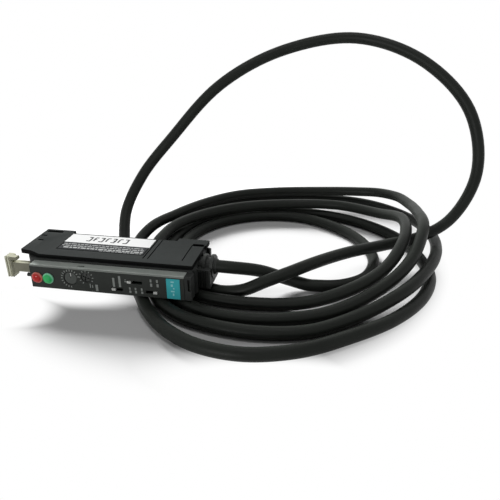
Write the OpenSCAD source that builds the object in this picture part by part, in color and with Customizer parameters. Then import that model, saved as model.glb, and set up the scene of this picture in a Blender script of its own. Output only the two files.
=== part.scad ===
// Fibre optic sensor amplifier for a 35 mm rail, with its moulded-on cable.
// Millimetres. +X runs to the cable end, +Y to the rail, +Z to the labelled wide side.
// The origin is the middle of the rail seat, half way through the thickness.

/* [Housing] */
// Length of the side cover from end to end
body_l = 64; // [62:0.5:72]
// Thickness across the two wide sides
body_t = 11; // [10.8:0.1:12.6]
// Depth from the front edge of the side cover to the rail seat
body_d = 19.2; // [19:0.1:21]
// Wall thickness of the moulded tray
wall = 1.2; // [1:0.05:1.4]
// Thickness of the side cover
cover_t = 1.6; // [1.4:0.05:1.9]
// Overhang of the side cover past the fibre end of the tray
overhang = 2.8; // [2.2:0.1:3.4]
// Depth of the locating rim under the side cover
rim_d = 0.8; // [0.5:0.05:1]

/* [Rail mount] */
// Width of the recess between the two end tabs
recess_l = 41; // [39:0.5:43]
// Reach of the end tabs past the rail seat
tab_d = 2.3; // [2.2:0.05:2.8]
// Width of the rail
rail_w = 35; // [34:0.25:36]
// Thickness of the rail's lip
rail_t = 1; // [0.8:0.05:1.2]
// Overlap of each hook behind the rail's lip
hook_grip = 0.8; // [0.5:0.05:1.2]
// Width of the fixed hook and of the sliding clip
hook_w = 5; // [4:0.1:6]

/* [Front panel] */
// Length of the end block that closes the panel's row at the cable end
end_block_l = 2.4; // [2:0.1:3.2]
// Height of the front panel
panel_h = 8.6; // [8.4:0.05:9]
// Stand-out of the front panel from the edge of the side cover
panel_d = 4; // [3.8:0.05:4.4]
// Wall thickness of the front panel
panel_wall = 0.9; // [0.7:0.05:1]
// Diameter of an indicator lens
lens_dia = 4; // [3.4:0.1:4]
// Height of an indicator's dome above its rim
lens_dome = 1.05; // [0.7:0.05:1.5]
// Diameter of the timer dial
timer_dia = 4.4; // [3.6:0.1:4.6]
// Diameter of the gain screw's head
gain_dia = 3.2; // [2.6:0.1:3.4]
// Width of a switch slider
slider_w = 1.4; // [1.1:0.05:1.6]
// Height of a switch slider
slider_h = 0.9; // [0.7:0.05:1]

/* [Fibre end] */
// Diameter of a fibre port
port_dia = 2.2; // [1.8:0.05:2.4]
// Distance between the two fibre ports
port_pitch = 6; // [5:0.1:6.4]
// Travel of the fibre gripper from open to locked
grip_travel = 3.2; // [2:0.1:3.4]
// Height of the gripper's thumb pad
thumb_h = 8; // [6:0.1:8.4]
// Thickness of the gripper's thumb pad
thumb_t = 2.4; // [1.8:0.1:3]

/* [Cable] */
// Diameter of the cable
cable_dia = 4.5; // [4.1:0.05:4.55]
// Diameter of the strain relief's barrel
barrel_dia = 6.1; // [5.9:0.05:6.3]
// Diameter of the strain relief's two flanges
flange_dia = 8.4; // [7.6:0.1:8.8]
// Length of the strain relief outside the end wall
relief_l = 6; // [5.8:0.1:7]
// Diameter of one lead of the cable
lead_dia = 1.1; // [0.8:0.05:1.3]
// Length of the stripped leads at the free end
lead_l = 8; // [6:0.5:9]

/* [Hidden] */
$fn = 48;

// Clearances: between a moving piece and its guide, and between fitted pieces
slip = 0.1;
fit = 0.05;
// Overshoot of a cut past the face that it opens
over = 1;

// Ends, faces and levels of the housing
cover_x0 = -body_l / 2;
cover_x1 = body_l / 2;
lip_step = 0.6;
lip_l = 2.2;
tray_x0 = cover_x0 + overhang;
tray_x1 = cover_x1 - lip_step;
front_y = -body_d;
panel_y = front_y - panel_d;
top_z = body_t / 2;
bottom_z = -body_t / 2;
cover_z = top_z - cover_t;
floor_z = bottom_z + wall;

// The corner beside the gripper: rounded on the tray, cut and stepped on the cover
corner_r = 3.8;
pin_dia = 1.4;
pin_l = 1.4;
pin_y = front_y + 2;
pin_z = -4.1;
cover_cut_x = 8.5;
cover_cut_y = 2.8;
cover_step_x = 4.4;
cover_step_y = 2.1;

// The front panel's ends and top, and its field of controls
panel_x0 = tray_x0 + 3.8;
panel_x1 = cover_x1 - end_block_l;
panel_l = panel_x1 - panel_x0;
panel_z1 = bottom_z + panel_h;
panel_edge = 0.4;
latch_slot = [2.4, 0.5];
latch_at = 18.2;
board_t = 1;
board_y = front_y + 0.8;
red_at = 2.5;
green_at = 6.6;
lens_up = 4;
lens_stem_dia = 2.8;
lens_rim = 0.3;
timer_at = 14.8;
timer_up = 4.6;
gain_at = 20.6;
gain_up = 5.5;
shaft_dia = 1.6;
dial_t = 1.1;
dial_set_back = 0.2;
pot_d = 2.6;
timer_body_size = [5, 4.8];
gain_body_size = [4.6, 4.1];
// Each switch: middle of its slot along the panel, height of its slot, travel of its slider
light_dark_back = 23.6;
delay_back = 17.2;
range_back = 11.3;
light_dark = [panel_l - light_dark_back, 2, 2.3];
delay_mode = [panel_l - delay_back, 5.2, 3.7];
range_mode = [panel_l - range_back, 2, 2.5];
board_margin = 5.3;
switch_d = 2.6;
switch_wall = 0.25;
slider_proud = 0.3;
front_label_size = [4.6, 7.4];
front_label_back = 3.7;
front_label_at = panel_l - front_label_back;
front_label_up = 0.4;
front_label_t = 0.15;

// The rating label's field on the side cover, and the moulded lines beside it
label_margin = [12, 19.4];
label_x = [cover_x0 + label_margin[0], cover_x1 - label_margin[1]];
label_y = [-14, -0.6];
label_t = 0.2;
groove_w = 0.4;
groove_d = 0.35;
groove_x = [label_x[1] + 0.7, label_x[1] + 2.4];
end_line_back = 5;
end_line_x = cover_x1 - end_line_back;
// Latch slots in the cover's two tabs, and how far the one at the fibre end is sunk
tab_slot_y = [-3.4, -1.6];
far_slot_l = 6.2;
far_slot_y = [-0.3, 1.2];
slot_d = 0.8;
front_lip_t = 0.7;
shadow_d = 0.9;

// Boards and the fibre block
boss_h = 0.7;
field_edge = 3;
field_d = 0.2;
main_z = floor_z + boss_h;
block_l = 11.5;
block_x = [tray_x0 + wall, tray_x0 + wall + block_l];
main_back_x = 3.4;
main_x = [block_x[1] + slip, tray_x1 - main_back_x];
boss_inset = 3;
boss_y = [front_y + 6, -5];
main_back_y = -2.2;
guide_wall = 2.1;
block_wall = 2.9;
block_top_z = 2.4;
port_y = -9.5;
port_z = 0;
guide_y = [port_y - port_pitch / 2 - guide_wall, port_y + port_pitch / 2 + guide_wall];
package = [3, 4, 4.4];

// The gripper: its arm, hook and the plate that crosses the fibres
arm_y = -17;
arm_w = 2.2;
arm_z = -1.05;
arm_h = 3.5;
arm_reach = 8.4;
thumb_x = tray_x0 - arm_reach;
thumb_w = 3.2;
thumb_z = arm_z + 0.1;
hook_l = 2.2;
hook_h = 1.2;
plate_x = tray_x0 + 2.2;
plate_t = 1.4;
block_rear_x = plate_x + plate_t + grip_travel + 0.4;
plate_y = [-16.3, -4.2];
plate_z = [-3, 2.2];
arm_end_x = tray_x0 + 0.8;
flute_w = 0.45;
flute_d = 0.3;
flute_pitch = 1;
arm_tongue_w = 1.2;
grip_hole_dia = 2.6;

// The rail clip and its tee slot
clip_end_x = cover_x1 + 0.6;
clip_y0 = 0.15;
tee_w = hook_w + 1.6;
tee_t = 0.8;
lip_gap = 0.25;
lead_in = 0.45;
notch_w = 2.4;

// The cable's way out: the cradle on the end wall and the strain relief in it
exit_y = -8;
exit_z = 0.5;
cradle_l = 4.6;
cradle_w = 12;
cradle_top_z = 1.5;
rib_w = 0.5;
rib_pitch = 0.95;
rib_d = 0.35;
flange_t = 1.1;
flange_x = [1.2, 3.9];
inner_flange_dia = 2 * (cover_z - exit_z - fit);
inner_flange_t = 1.1;
relief_nose = 0.8;
relief_x1 = tray_x1 + relief_l;
relief_x0 = tray_x1 - wall - inner_flange_t - fit;
cable_gap = 0.15;

// The cable lies on a surface below the housing: the strands under the housing just clear it
cable_sides = 10;
ring_r = cable_dia / 2;
lay_z = bottom_z - cable_dia / 2 - 0.3;
route = [
    // Out of the strain relief, down and round the inside of the coil
    [relief_x0 - 0.45, exit_y, exit_z], [relief_x1 + 4.6, exit_y, exit_z], [52.5, -4, -2.1],
    [61, -0.8, -6], [70, -0.5, lay_z], [80, 1.2, lay_z], [88, 7.2, lay_z], [92.7, 21, lay_z],
    [89, 41, lay_z], [77, 57, lay_z], [59, 66.5, lay_z], [40, 64.8, lay_z], [24.8, 54.8, lay_z],
    [15.9, 40, lay_z], [14.6, 22, lay_z], [20.4, 4.7, lay_z],
    // Across the coil to the foot of the standing loop
    [27.8, -5.4, lay_z], [38.5, -10.4, lay_z], [47, -10.8, -6.5], [54.5, -9.2, -3.3], [62, -5.4, -1.2],
    [70, 2.6, -0.7], [83, 16, -1.3], [97, 26.5, -1.8], [110, 33, -0.4], [122, 40, 5],
    // The standing loop and its foot behind and under the housing
    [130.5, 46, 21], [127, 54, 44], [108, 65, 63], [80, 73, 71.5], [51, 71, 67], [24, 57, 53],
    [5, 48, 32.5], [-7, 40, 17], [-11, 29, 5], [-8, 17, -3],
    // Outermost front strand, outer right side, back
    [-3.5, 5, -7.8], [4.5, -7.5, lay_z], [11.5, -17.5, lay_z], [18.5, -28, lay_z], [26.5, -36.3, lay_z],
    [37.5, -43, lay_z], [52, -45.5, lay_z], [68, -41.5, lay_z], [84, -31, lay_z], [99, -17.3, lay_z],
    [110, 1, lay_z], [113, 14, lay_z], [111.5, 28, lay_z], [104.5, 48, lay_z], [86, 66, lay_z],
    [66, 73, lay_z], [46, 72.7, lay_z], [27, 64.5, lay_z], [13.7, 50.7, lay_z], [9, 34, lay_z],
    [9.8, 20, lay_z], [15.2, 3.7, lay_z],
    // Innermost front strand, up over the crossing strand, back
    [23.6, -8.6, lay_z], [32, -14.6, lay_z], [44, -16.8, lay_z], [58, -16.2, lay_z], [70, -14.6, -6.8],
    [82, -10.2, -4], [95, 3, -1.2], [103, 21, 3.6], [104, 41, 3.9], [95, 60, -1], [78, 71.5, -2.6],
    [54, 70.5, -3], [31, 62, -3], [16, 48.5, -3], [7.5, 32, -3.2], [6, 20, -4.6], [8, 8.5, lay_z],
    // Second front strand, over the crossing strand, top of the back
    [12.2, -1.9, lay_z], [19.4, -11.5, lay_z], [26.5, -19.2, lay_z], [36, -24.6, lay_z],
    [49, -26.7, lay_z], [62, -25, lay_z], [76, -20, -7.4], [92.6, -8, -3.9], [104.3, 8, 0.4],
    [110.5, 28, 5.8], [111, 50, 4], [109.3, 67, 1.7], [104.6, 81, 0.4], [97, 88.5, -0.7],
    [86, 91.4, -1.7], [67, 92, -2.8],
    [46, 88, -3], [27, 79.5, -3], [13.5, 64.5, -3], [4.5, 47.5, -3], [-1.5, 33, -3.4], [-3.5, 20, -6],
    [0.5, 7.5, lay_z],
    // Third front strand, outside of the right, lowest of the back, free end behind the housing
    [8.3, -4.6, lay_z], [15.3, -14.6, lay_z], [22.2, -23.3, lay_z], [30, -29, lay_z], [41, -32.5, lay_z],
    [55, -33.8, lay_z], [70, -31, lay_z], [86, -20.5, -7.2], [101.8, -6.4, -3.9], [112.5, 13, -2.8],
    [117.5, 34, -4.2], [117, 56, -6.2], [107, 78, -7.3], [90, 93, lay_z], [68, 96, lay_z],
    [47, 92.5, lay_z], [28, 84, lay_z], [13.5, 68, lay_z], [5, 50, lay_z], [2.6, 36, lay_z],
    [2.6, 22, lay_z]];
free_end = route[len(route) - 1];
lead_spread = 0.8;
tip_dia = 0.6;
tip_l = 2.5;

// A block between two opposite corners
module block(low, high) {
    translate(low) cube(high - low);
}

// A round bar along X, from x to x + length
module bar_x(x, y, z, length, dia) {
    translate([x, y, z]) rotate([0, 90, 0]) cylinder(h = length, d = dia);
}

// A round bar along Y, from y to y + length
module bar_y(x, y, z, length, dia) {
    translate([x, y, z]) rotate([-90, 0, 0]) cylinder(h = length, d = dia);
}

// Plan of the tray, drawn in by an inset on every side
module tray_plan(inset) {
    difference() {
        union() {
            translate([tray_x0 + inset, front_y + inset])
                square([tray_x1 - tray_x0 - 2 * inset, body_d - 2 * inset]);
            if (inset == 0)
                for (x = [[tray_x0, -recess_l / 2], [recess_l / 2, tray_x1]])
                    translate([x[0], -wall]) square([x[1] - x[0], wall + tab_d]);
        }
        // What the rounding takes off the corner
        translate([tray_x0, front_y]) difference() {
            translate([-over, -over]) square(corner_r + over);
            translate([corner_r, corner_r]) circle(r = corner_r - inset);
        }
    }
}

// Plan of the side cover: cut corner, end tabs, rail recess and the lip at the cable end
module cover_plan() {
    polygon([
        [cover_x0, tab_d], [-recess_l / 2, tab_d], [-recess_l / 2, 0], [recess_l / 2, 0],
        [recess_l / 2, tab_d], [cover_x1, tab_d], [cover_x1, -lip_l],
        [cover_x1 - lip_step, -lip_l - lip_step], [cover_x1 - lip_step, front_y],
        [cover_x0 + cover_cut_x, front_y], [cover_x0 + cover_step_x, front_y + cover_step_y],
        [cover_x0, front_y + cover_cut_y]]);
}

// Middle of a control on the panel, from its place along it and its height above the bottom
function panel_x(at) = panel_x0 + at;
function panel_z(up) = bottom_z + up;

// Length of the slot that a switch slider runs in
function slot_l(switch) = switch[2] + slider_w + 3 * slip;

// The nose that goes behind the rail's lip, from its tip to the given x, with a sloped lead-in
module hook_nose(root_x) {
    tip_x = rail_w / 2 - hook_grip;
    translate([0, 0, -hook_w / 2]) linear_extrude(hook_w) polygon([
        [root_x, rail_t + lip_gap], [tip_x, rail_t + lip_gap], [tip_x, tab_d - lead_in],
        [tip_x + lead_in, tab_d], [root_x, tab_d]]);
}

// The tray of the housing: floor, walls, rail hook, end block and cable cradle
module housing() {
    color([0.17, 0.18, 0.185]) difference() {
        union() {
            difference() {
                union() {
                    translate([0, 0, bottom_z]) linear_extrude(cover_z - bottom_z) tray_plan(0);
                    // Rounded shoulder between the end block and the cradle
                    translate([tray_x1 - 1.2, front_y + 2.5, bottom_z])
                        cylinder(h = cover_z - bottom_z - 0.4, d = 4.4);
                }
                translate([0, 0, floor_z]) linear_extrude(body_t) tray_plan(wall);
            }
            // Board bosses on the floor
            for (x = [main_x[0] + boss_inset, main_x[1] - boss_inset], y = boss_y)
                translate([x, y, floor_z - fit]) cylinder(h = boss_h + fit, d = 3);
            // Stop pin for the gripper's thumb pad, under its arm
            bar_x(tray_x0 - pin_l, pin_y, pin_z, pin_l + wall, pin_dia);
            // Fixed rail hook on the tab at the fibre end
            mirror([1, 0, 0]) hook_nose(recess_l / 2 + fit);
            // End block that closes the front panel's row at the cable end
            difference() {
                block([panel_x1, panel_y + panel_edge / 2, bottom_z], [cover_x1, front_y + fit, panel_z1]);
                block([panel_x1 + 1.2, panel_y - over, -2], [cover_x1 - 0.3, panel_y + 1.2, 2.2]);
            }
            // Cradle under the strain relief, with grip ribs on its front
            block([tray_x1 - fit, exit_y - cradle_w / 2, bottom_z],
                [tray_x1 + cradle_l, exit_y + cradle_w / 2, cradle_top_z]);
            for (i = [0:3])
                translate([tray_x1 + 0.5 + i * rib_pitch, exit_y - cradle_w / 2 - rib_d, bottom_z + 0.4])
                    cube([rib_w, rib_d + fit, cradle_top_z - bottom_z - 0.8]);
        }
        // Shallow field on the plain wide side
        block([tray_x0 + field_edge, front_y + field_edge, bottom_z - over],
            [tray_x1 - field_edge, -field_edge, bottom_z + field_d]);
        // Window that the controls reach through
        block([panel_x0 + panel_wall, front_y - over, floor_z],
            [panel_x1 - panel_wall, front_y + wall + fit, panel_z1 - panel_wall]);
        // Way in for the gripper's arm through the cut corner
        block([tray_x0 - over, arm_y - arm_w / 2 - slip, arm_z - arm_h / 2 - slip],
            [panel_x0 + 0.5, arm_y + arm_w / 2 + slip, arm_z + arm_h / 2 + slip]);
        // Window in the end wall for the fibre block's guide
        block([tray_x0 - over, guide_y[0] - fit, floor_z], [tray_x0 + wall + over, guide_y[1] + fit,
            block_top_z + fit]);
        // Seat of the strain relief: barrel, gripped flanges and the open way in from the cover side
        bar_x(tray_x1 - wall - over, exit_y, exit_z, cradle_l + wall + 2 * over, barrel_dia + 2 * fit);
        block([tray_x1 - wall - over, exit_y - barrel_dia / 2 - fit, exit_z],
            [tray_x1 + cradle_l + over, exit_y + barrel_dia / 2 + fit, body_t]);
        for (x = flange_x) {
            bar_x(tray_x1 + x - fit, exit_y, exit_z, flange_t + 2 * fit, flange_dia + 2 * fit);
            block([tray_x1 + x - fit, exit_y - flange_dia / 2 - fit, exit_z],
                [tray_x1 + x + flange_t + fit, exit_y + flange_dia / 2 + fit, body_t]);
        }
        // Tee slot for the rail clip
        block([recess_l / 2 - over, clip_y0 - slip, -tee_w / 2 - slip],
            [cover_x1 + over, clip_y0 + tee_t + slip, tee_w / 2 + slip]);
        block([recess_l / 2 - over, clip_y0, -hook_w / 2 - slip],
            [cover_x1 + over, tab_d + over, hook_w / 2 + slip]);
    }
}

// The flat side cover: label field, moulded lines, latch slots, locating rim
module side_cover() {
    color([0.20, 0.21, 0.215]) difference() {
        union() {
            translate([0, 0, cover_z]) linear_extrude(cover_t) cover_plan();
            translate([0, 0, cover_z - rim_d]) linear_extrude(rim_d + fit) difference() {
                tray_plan(wall + slip);
                tray_plan(2 * wall);
            }
        }
        block([label_x[0], label_y[0], top_z - label_t], [label_x[1], label_y[1], top_z + over]);
        for (x = groove_x)
            block([x - groove_w / 2, front_y + 3, top_z - groove_d],
                [x + groove_w / 2, over, top_z + over]);
        block([end_line_x - groove_w / 2, front_y + 3.6, top_z - groove_d],
            [end_line_x + groove_w / 2, -3, top_z + over]);
        // Latch slots in the two tabs and the two small slots at the fibre end
        block([end_line_x, tab_slot_y[0], cover_z - over], [cover_x1 - 0.8, tab_slot_y[1], top_z + over]);
        block([cover_x0 + 1, far_slot_y[0], top_z - slot_d],
            [cover_x0 + 1 + far_slot_l, far_slot_y[1], top_z + over]);
        for (p = [[0.8, -3.9], [1.6, -8.1]])
            block([cover_x0 + p[0], p[1], top_z - slot_d],
                [cover_x0 + p[0] + 2.1, p[1] + 0.7, top_z + over]);
        // Shadow line under the front lip
        block([cover_x0 - over, front_y - over, cover_z - over],
            [cover_x1 + over, front_y + shadow_d, top_z - front_lip_t]);
        // Room over the strain relief's barrel where the rim crosses it
        block([tray_x1 - 2 * wall - over, exit_y - inner_flange_dia / 2 - slip, cover_z - rim_d - over],
            [tray_x1 + over, exit_y + inner_flange_dia / 2 + slip, cover_z]);
    }
}

// The snap-on front panel with the openings for lenses, dials and sliders
module front_panel() {
    color([0.13, 0.135, 0.14]) difference() {
        translate([panel_x0, 0, 0]) rotate([90, 0, 90]) linear_extrude(panel_l) polygon([
            [front_y, bottom_z], [front_y, panel_z1], [panel_y + panel_edge, panel_z1],
            [panel_y, panel_z1 - panel_edge], [panel_y, bottom_z + panel_edge / 2],
            [panel_y + panel_edge / 2, bottom_z]]);
        block([panel_x0 + panel_wall, panel_y + panel_wall, bottom_z + panel_wall],
            [panel_x1 - panel_wall, front_y + over, panel_z1 - panel_wall]);
        for (at = [red_at, green_at])
            bar_y(panel_x(at), panel_y - over, panel_z(lens_up), panel_wall + 2 * over,
                lens_stem_dia + 2 * fit);
        bar_y(panel_x(timer_at), panel_y - over, panel_z(timer_up), panel_wall + 2 * over,
            timer_dia + 3 * slip);
        bar_y(panel_x(gain_at), panel_y - over, panel_z(gain_up), panel_wall + 2 * over,
            gain_dia + 3 * slip);
        for (s = [light_dark, delay_mode, range_mode])
            block([panel_x(s[0]) - slot_l(s) / 2, panel_y - over, panel_z(s[1]) - slider_h / 2 - slip],
                [panel_x(s[0]) + slot_l(s) / 2, panel_y + panel_wall + over,
                    panel_z(s[1]) + slider_h / 2 + slip]);
        block([panel_x(latch_at) - latch_slot[0] / 2, panel_y + 1.8, panel_z1 - panel_wall - over],
            [panel_x(latch_at) + latch_slot[0] / 2, panel_y + 1.8 + latch_slot[1], panel_z1 + over]);
    }
}

// The printed label in its field on the side cover
module rating_label() {
    color([0.82, 0.83, 0.82])
        block([label_x[0] + fit, label_y[0] + fit, top_z - label_t],
            [label_x[1] - fit, label_y[1] - fit, top_z]);
}

// The small coloured label at the cable end of the front panel
module front_label() {
    color([0.16, 0.55, 0.62])
        block([panel_x(front_label_at) - front_label_size[0] / 2, panel_y - front_label_t,
                panel_z(front_label_up)],
            [panel_x(front_label_at) + front_label_size[0] / 2, panel_y,
                panel_z(front_label_up) + front_label_size[1]]);
}

// An indicator: a domed lens on the panel's face, on a thinner stem that stands on the panel board
module indicator(at) {
    stem_l = board_y - panel_y;
    rim_l = stem_l + lens_rim;
    dome_r = (pow(lens_dia / 2, 2) + pow(lens_dome, 2)) / (2 * lens_dome);
    dome_a = asin(lens_dia / 2 / dome_r);
    translate([panel_x(at), board_y, panel_z(lens_up)]) rotate([90, 0, 0]) rotate_extrude() polygon(concat(
        [[0, 0], [lens_stem_dia / 2, 0], [lens_stem_dia / 2, stem_l], [lens_dia / 2, stem_l],
            [lens_dia / 2, rim_l]],
        [for (i = [1:7]) let (a = dome_a * (1 - i / 8))
            [dome_r * sin(a), rim_l + lens_dome - dome_r + dome_r * cos(a)]],
        [[0, rim_l + lens_dome]]));
}

module red_indicator() {
    color([0.85, 0.16, 0.14]) indicator(red_at);
}

module green_indicator() {
    color([0.15, 0.72, 0.45]) indicator(green_at);
}

// A dial's head, set back in the panel, on a shaft that turns in its body
module dial(at, up, dia) {
    translate([panel_x(at), panel_y + dial_set_back, panel_z(up)]) rotate([-90, 0, 0]) {
        cylinder(h = dial_t, d = dia);
        cylinder(h = board_y - switch_wall - slip - panel_y - dial_set_back, d = shaft_dia);
    }
}

// The body of a dial on the panel board, with the bore that its shaft turns in
module pot(at, up, size) {
    difference() {
        block([panel_x(at) - size[0] / 2, board_y - pot_d, panel_z(up) - size[1] / 2],
            [panel_x(at) + size[0] / 2, board_y, panel_z(up) + size[1] / 2]);
        bar_y(panel_x(at), board_y - pot_d - over, panel_z(up), pot_d - switch_wall + over,
            shaft_dia + 2 * fit);
    }
}

// Timer dial with its pointer groove
module timer_dial() {
    color([0.40, 0.42, 0.42]) difference() {
        dial(timer_at, timer_up, timer_dia);
        block([panel_x(timer_at) - 0.25, panel_y - over, panel_z(timer_up) + 0.4],
            [panel_x(timer_at) + 0.25, panel_y + dial_set_back + 0.35, panel_z(timer_up) + timer_dia]);
    }
}

module timer_body() {
    color([0.10, 0.25, 0.45]) pot(timer_at, timer_up, timer_body_size);
}

// Gain screw with its cross slot
module gain_screw() {
    color([0.25, 0.26, 0.26]) difference() {
        dial(gain_at, gain_up, gain_dia);
        for (a = [20, 110])
            translate([panel_x(gain_at), panel_y + dial_set_back, panel_z(gain_up)]) rotate([0, a, 0])
                cube([2.6, 1.1, 0.6], center = true);
    }
}

module gain_body() {
    color([0.10, 0.25, 0.45]) pot(gain_at, gain_up, gain_body_size);
}

// A slider at one end of its slot: side -1 is the fibre end, 1 the cable end
module slider(switch, side) {
    x = panel_x(switch[0]) + side * switch[2] / 2;
    block([x - slider_w / 2, panel_y - slider_proud, panel_z(switch[1]) - slider_h / 2],
        [x + slider_w / 2, board_y - 2 * switch_wall - slip, panel_z(switch[1]) + slider_h / 2]);
}

// The body of a slide switch on the panel board, open in front for its slider
module switch_case(switch) {
    half_l = slot_l(switch) / 2;
    half_h = slider_h / 2 + slip;
    difference() {
        block([panel_x(switch[0]) - half_l - 2 * switch_wall, board_y - switch_d,
                panel_z(switch[1]) - half_h - switch_wall / 2],
            [panel_x(switch[0]) + half_l + 2 * switch_wall, board_y,
                panel_z(switch[1]) + half_h + 2 * switch_wall]);
        block([panel_x(switch[0]) - half_l, board_y - switch_d - over, panel_z(switch[1]) - half_h],
            [panel_x(switch[0]) + half_l, board_y - 2 * switch_wall, panel_z(switch[1]) + half_h]);
    }
}

module light_dark_slider() {
    color([0.88, 0.89, 0.87]) slider(light_dark, -1);
}

module light_dark_switch() {
    color([0.06, 0.06, 0.065]) switch_case(light_dark);
}

module delay_slider() {
    color([0.88, 0.89, 0.87]) slider(delay_mode, -1);
}

module delay_switch() {
    color([0.06, 0.06, 0.065]) switch_case(delay_mode);
}

module range_slider() {
    color([0.88, 0.89, 0.87]) slider(range_mode, 1);
}

module range_switch() {
    color([0.06, 0.06, 0.065]) switch_case(range_mode);
}

// The upright board behind the panel, which carries indicators, dials and switches
module panel_board() {
    color([0.10, 0.35, 0.20])
        block([panel_x0 + panel_wall + slip, board_y, floor_z + slip],
            [panel_x1 - board_margin, board_y + board_t, panel_z1 - panel_wall - slip]);
}

// The main board on the tray's bosses, its front edge against the panel board
module main_board() {
    color([0.10, 0.35, 0.20])
        block([main_x[0], board_y + board_t, main_z], [main_x[1], main_back_y, main_z + board_t]);
}

// The fibre block: foot, front guide in the end wall's window, and the bored rear part that
// lines the fibres up with the optics
module fibre_block() {
    low_y = port_y - port_pitch / 2 - block_wall;
    high_y = port_y + port_pitch / 2 + block_wall;
    color([0.12, 0.12, 0.125]) difference() {
        union() {
            block([block_x[0], low_y, floor_z], [block_x[1], high_y, plate_z[0] - slip]);
            block([tray_x0, guide_y[0], floor_z], [plate_x - 2 * slip, guide_y[1], block_top_z]);
            block([block_rear_x, low_y, floor_z], [block_x[1], high_y, block_top_z]);
        }
        for (s = [-1, 1]) {
            bar_x(tray_x0 - over, port_y + s * port_pitch / 2, port_z, plate_x - tray_x0 + over,
                grip_hole_dia);
            bar_x(block_rear_x - over, port_y + s * port_pitch / 2, port_z,
                block_x[1] - block_rear_x + 2 * over, port_dia);
        }
    }
}

// An optic: a cased chip on the main board with its lens towards the fibre
module optic(side) {
    y = port_y + side * port_pitch / 2;
    block([block_x[1] + slip, y - package[1] / 2, main_z + board_t],
        [block_x[1] + slip + package[0], y + package[1] / 2, main_z + board_t + package[2]]);
}

module emitter_led() {
    color([0.80, 0.30, 0.28]) optic(-1);
}

module receiver_diode() {
    color([0.15, 0.15, 0.17]) optic(1);
}

// The fibre gripper: thumb pad with hook, arm, tongue and the plate that crosses both fibres
module fibre_gripper() {
    color([0.85, 0.85, 0.77]) difference() {
        union() {
            block([thumb_x, arm_y - thumb_w / 2, thumb_z - thumb_h / 2],
                [thumb_x + thumb_t, arm_y + thumb_w / 2, thumb_z + thumb_h / 2]);
            block([thumb_x + thumb_t - fit, arm_y - thumb_w / 2, thumb_z + thumb_h / 2 - hook_h],
                [thumb_x + thumb_t + hook_l, arm_y + thumb_w / 2 - 1.2, thumb_z + thumb_h / 2]);
            block([thumb_x + thumb_t - fit, arm_y - arm_w / 2, arm_z - arm_h / 2],
                [arm_end_x, arm_y + arm_w / 2, arm_z + arm_h / 2]);
            block([arm_end_x - fit, arm_y + arm_w / 2 - arm_tongue_w, arm_z - arm_h / 2],
                [plate_x + plate_t, arm_y + arm_w / 2, arm_z + arm_h / 2]);
            block([plate_x, plate_y[0], plate_z[0]], [plate_x + plate_t, plate_y[1], plate_z[1]]);
            // Gusset under the arm at the thumb pad
            translate([thumb_x + thumb_t, arm_y + arm_w / 2, arm_z - arm_h / 2]) rotate([90, 0, 0])
                linear_extrude(arm_w) polygon([[-fit, fit], [2.2, fit], [-fit, -1.4]]);
        }
        // Open slots that let both fibres through the plate
        for (s = [-1, 1])
            block([plate_x - over, port_y + s * port_pitch / 2 - grip_hole_dia / 2,
                    port_z - grip_hole_dia / 2],
                [plate_x + plate_t + over, port_y + s * port_pitch / 2 + grip_hole_dia / 2,
                    plate_z[1] + over]);
        // Flutes down the outside and the front of the thumb pad
        for (i = [-1:1])
            block([thumb_x - over, arm_y + i * flute_pitch - flute_w / 2, thumb_z - thumb_h],
                [thumb_x + flute_d, arm_y + i * flute_pitch + flute_w / 2, thumb_z + thumb_h]);
        for (i = [-1, 1])
            block([thumb_x + (thumb_t + i * flute_pitch - flute_w) / 2, arm_y - thumb_w, thumb_z - thumb_h],
                [thumb_x + (thumb_t + i * flute_pitch + flute_w) / 2, arm_y - thumb_w / 2 + flute_d,
                    thumb_z + thumb_h]);
    }
}

// The sliding rail clip: nose behind the rail's lip, tee bar in the tab, pull end with a notch
module rail_clip() {
    color([0.15, 0.155, 0.16]) difference() {
        union() {
            hook_nose(recess_l / 2 + fit);
            block([recess_l / 2 + slip, clip_y0, -tee_w / 2], [clip_end_x, clip_y0 + tee_t, tee_w / 2]);
            block([recess_l / 2, clip_y0 + tee_t - fit, -hook_w / 2], [clip_end_x, tab_d, hook_w / 2]);
        }
        // Notch for a screwdriver's tip
        block([clip_end_x - 1.6, clip_y0 + tee_t, -notch_w / 2],
            [clip_end_x - 0.7, tab_d + over, notch_w / 2]);
    }
}

// The moulded strain relief: flange behind the end wall, barrel, two flanges and a slit in each side
module strain_relief() {
    wall_x = tray_x1 - relief_x0;
    color([0.14, 0.145, 0.15]) difference() {
        translate([relief_x0, exit_y, exit_z]) rotate([0, 90, 0]) rotate_extrude() polygon([
            [cable_dia / 2 + cable_gap, 0], [inner_flange_dia / 2, 0],
            [inner_flange_dia / 2, inner_flange_t], [barrel_dia / 2, inner_flange_t],
            [barrel_dia / 2, wall_x + flange_x[0]], [flange_dia / 2, wall_x + flange_x[0]],
            [flange_dia / 2, wall_x + flange_x[0] + flange_t],
            [barrel_dia / 2, wall_x + flange_x[0] + flange_t],
            [barrel_dia / 2, wall_x + flange_x[1]], [flange_dia / 2, wall_x + flange_x[1]],
            [flange_dia / 2, wall_x + flange_x[1] + flange_t],
            [barrel_dia / 2, wall_x + flange_x[1] + flange_t],
            [barrel_dia / 2 - relief_nose / 2, wall_x + relief_l],
            [cable_dia / 2 + cable_gap, wall_x + relief_l]]);
        block([tray_x1 + flange_x[0] + flange_t + 0.3, exit_y - flange_dia, exit_z - 0.3],
            [tray_x1 + flange_x[1] - 0.3, exit_y + flange_dia, exit_z + 0.3]);
    }
}

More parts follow.
